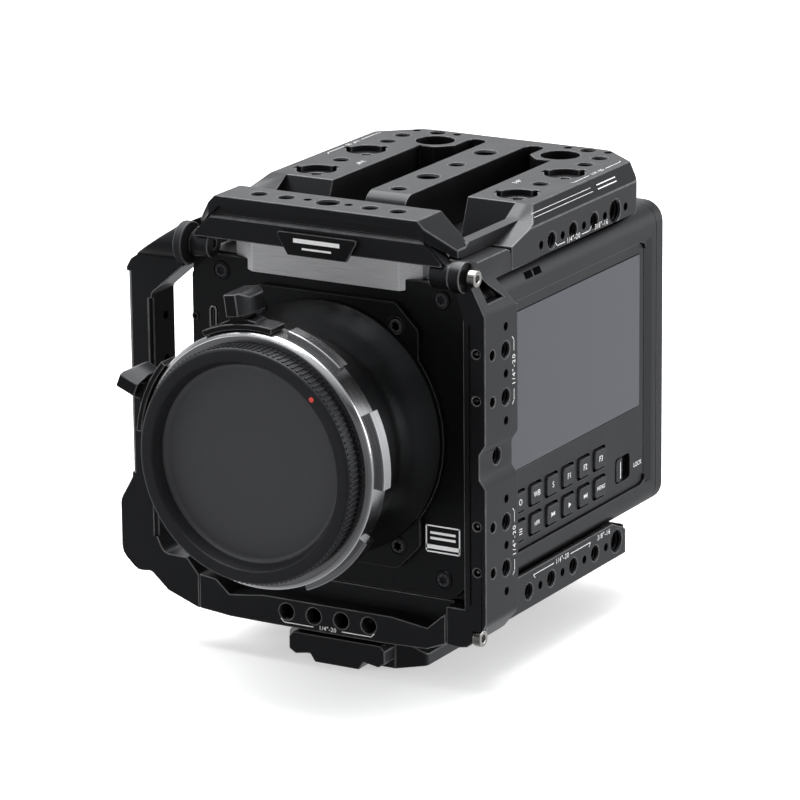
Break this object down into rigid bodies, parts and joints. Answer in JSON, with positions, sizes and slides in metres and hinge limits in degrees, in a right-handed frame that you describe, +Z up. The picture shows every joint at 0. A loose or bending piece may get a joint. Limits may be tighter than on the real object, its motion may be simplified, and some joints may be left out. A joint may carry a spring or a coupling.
{
  "type": "cinema camera rig",
  "caption": "Box-shaped cinema camera with capped lens mount, side screen and keys, held in a metal accessory cage with a quick-release foot.",
  "frame": {"origin": "middle of the quick-release foot's lower face, on the surface the rig stands on", "axes": "+Z up, the lens looks along -Y, the screen faces +X"},
  "size_m": [0.1496, 0.2012, 0.1694],
  "materials": {
    "black_housing": "matte black anodised and painted housing",
    "cage_anodised": "black anodised machined aluminium, fine bead-blasted",
    "satin_trim": "black satin anodised",
    "mount_steel": "turned and brushed stainless steel",
    "nickel": "nickel plated",
    "cap_plastic": "dark grey matte moulded plastic",
    "key_plastic": "dark grey matte rubberised plastic",
    "switch_plastic": "black matte plastic",
    "screen": "dark glossy cover glass",
    "sensor_glass": "dark coated glass",
    "collar_rubber": "black matte rubber"
  },
  "bodies": {
    "rig": {"body_shell": "black_housing", "front_panel": "black_housing", "usb_socket": "nickel", "header_strip": "satin_trim", "lens_plate": "black_housing", "sensor_window": "sensor_glass", "mount_barrel": "cage_anodised", "mount_flange": "mount_steel", "side_panel": "black_housing", "screen_glass": "screen", "rear_bezel": "black_housing", "battery_plate": "black_housing", "battery_contacts": "switch_plastic", "port_panel": "black_housing", "video_out_upper": "nickel", "video_out_lower": "nickel", "network_socket": "nickel", "audio_input": "nickel", "headphone_output": "nickel", "power_socket": "nickel", "top_plate": "cage_anodised", "crossbar": "cage_anodised", "name_plate": "satin_trim", "collar": "collar_rubber", "right_bracket": "cage_anodised", "left_bracket": "cage_anodised", "base_plate": "cage_anodised", "quick_foot": "cage_anodised", "screw_upper": "nickel", "screw_lower": "nickel"},
    "locking_ring": {"locking_ring": "mount_steel", "lever_upper": "satin_trim", "lever_left": "satin_trim"},
    "lens_cap": {"lens_cap": "cap_plastic"},
    "lock_switch": {"lock_switch": "switch_plastic"},
    "battery_latch": {"battery_latch": "satin_trim"},
    "media_door": {"media_door": "black_housing"},
    "key_a1": {"key_a1": "key_plastic"},
    "key_a2": {"key_a2": "key_plastic"},
    "key_a3": {"key_a3": "key_plastic"},
    "key_a4": {"key_a4": "key_plastic"},
    "key_a5": {"key_a5": "key_plastic"},
    "key_a6": {"key_a6": "key_plastic"},
    "key_b1": {"key_b1": "key_plastic"},
    "key_b2": {"key_b2": "key_plastic"},
    "key_b3": {"key_b3": "key_plastic"},
    "key_b4": {"key_b4": "key_plastic"},
    "key_b5": {"key_b5": "key_plastic"},
    "key_b6": {"key_b6": "key_plastic"}
  },
  "joints": [
    {"name": "locking_ring_turn", "type": "hinge", "parent": "rig", "child": "locking_ring", "pos_m": [0, -0.103, 0.0894], "axis": [0, -1, 0], "range_deg": [0, 55]},
    {"name": "lens_cap_pull", "type": "slide", "parent": "rig", "child": "lens_cap", "axis": [0, -1, 0], "range_m": [0, 0.04]},
    {"name": "lock_switch_slide", "type": "slide", "parent": "rig", "child": "lock_switch", "axis": [0, 1, 0], "range_m": [0, 0.0045]},
    {"name": "battery_latch_slide", "type": "slide", "parent": "rig", "child": "battery_latch", "axis": [0, 0, 1], "range_m": [0, 0.005], "stiffness_N_per_m": 300},
    {"name": "media_door_hinge", "type": "hinge", "parent": "rig", "child": "media_door", "pos_m": [-0.0563, -0.019, 0.0894], "axis": [0, 0, 1], "range_deg": [0, 95]},
    {"name": "key_a1_press", "type": "slide", "parent": "rig", "child": "key_a1", "axis": [-1, 0, 0], "range_m": [0, 0.0007], "stiffness_N_per_m": 600},
    {"name": "key_a2_press", "type": "slide", "parent": "rig", "child": "key_a2", "axis": [-1, 0, 0], "range_m": [0, 0.0007], "stiffness_N_per_m": 600},
    {"name": "key_a3_press", "type": "slide", "parent": "rig", "child": "key_a3", "axis": [-1, 0, 0], "range_m": [0, 0.0007], "stiffness_N_per_m": 600},
    {"name": "key_a4_press", "type": "slide", "parent": "rig", "child": "key_a4", "axis": [-1, 0, 0], "range_m": [0, 0.0007], "stiffness_N_per_m": 600},
    {"name": "key_a5_press", "type": "slide", "parent": "rig", "child": "key_a5", "axis": [-1, 0, 0], "range_m": [0, 0.0007], "stiffness_N_per_m": 600},
    {"name": "key_a6_press", "type": "slide", "parent": "rig", "child": "key_a6", "axis": [-1, 0, 0], "range_m": [0, 0.0007], "stiffness_N_per_m": 600},
    {"name": "key_b1_press", "type": "slide", "parent": "rig", "child": "key_b1", "axis": [-1, 0, 0], "range_m": [0, 0.0007], "stiffness_N_per_m": 600},
    {"name": "key_b2_press", "type": "slide", "parent": "rig", "child": "key_b2", "axis": [-1, 0, 0], "range_m": [0, 0.0007], "stiffness_N_per_m": 600},
    {"name": "key_b3_press", "type": "slide", "parent": "rig", "child": "key_b3", "axis": [-1, 0, 0], "range_m": [0, 0.0007], "stiffness_N_per_m": 600},
    {"name": "key_b4_press", "type": "slide", "parent": "rig", "child": "key_b4", "axis": [-1, 0, 0], "range_m": [0, 0.0007], "stiffness_N_per_m": 600},
    {"name": "key_b5_press", "type": "slide", "parent": "rig", "child": "key_b5", "axis": [-1, 0, 0], "range_m": [0, 0.0007], "stiffness_N_per_m": 600},
    {"name": "key_b6_press", "type": "slide", "parent": "rig", "child": "key_b6", "axis": [-1, 0, 0], "range_m": [0, 0.0007], "stiffness_N_per_m": 600}
  ]
}
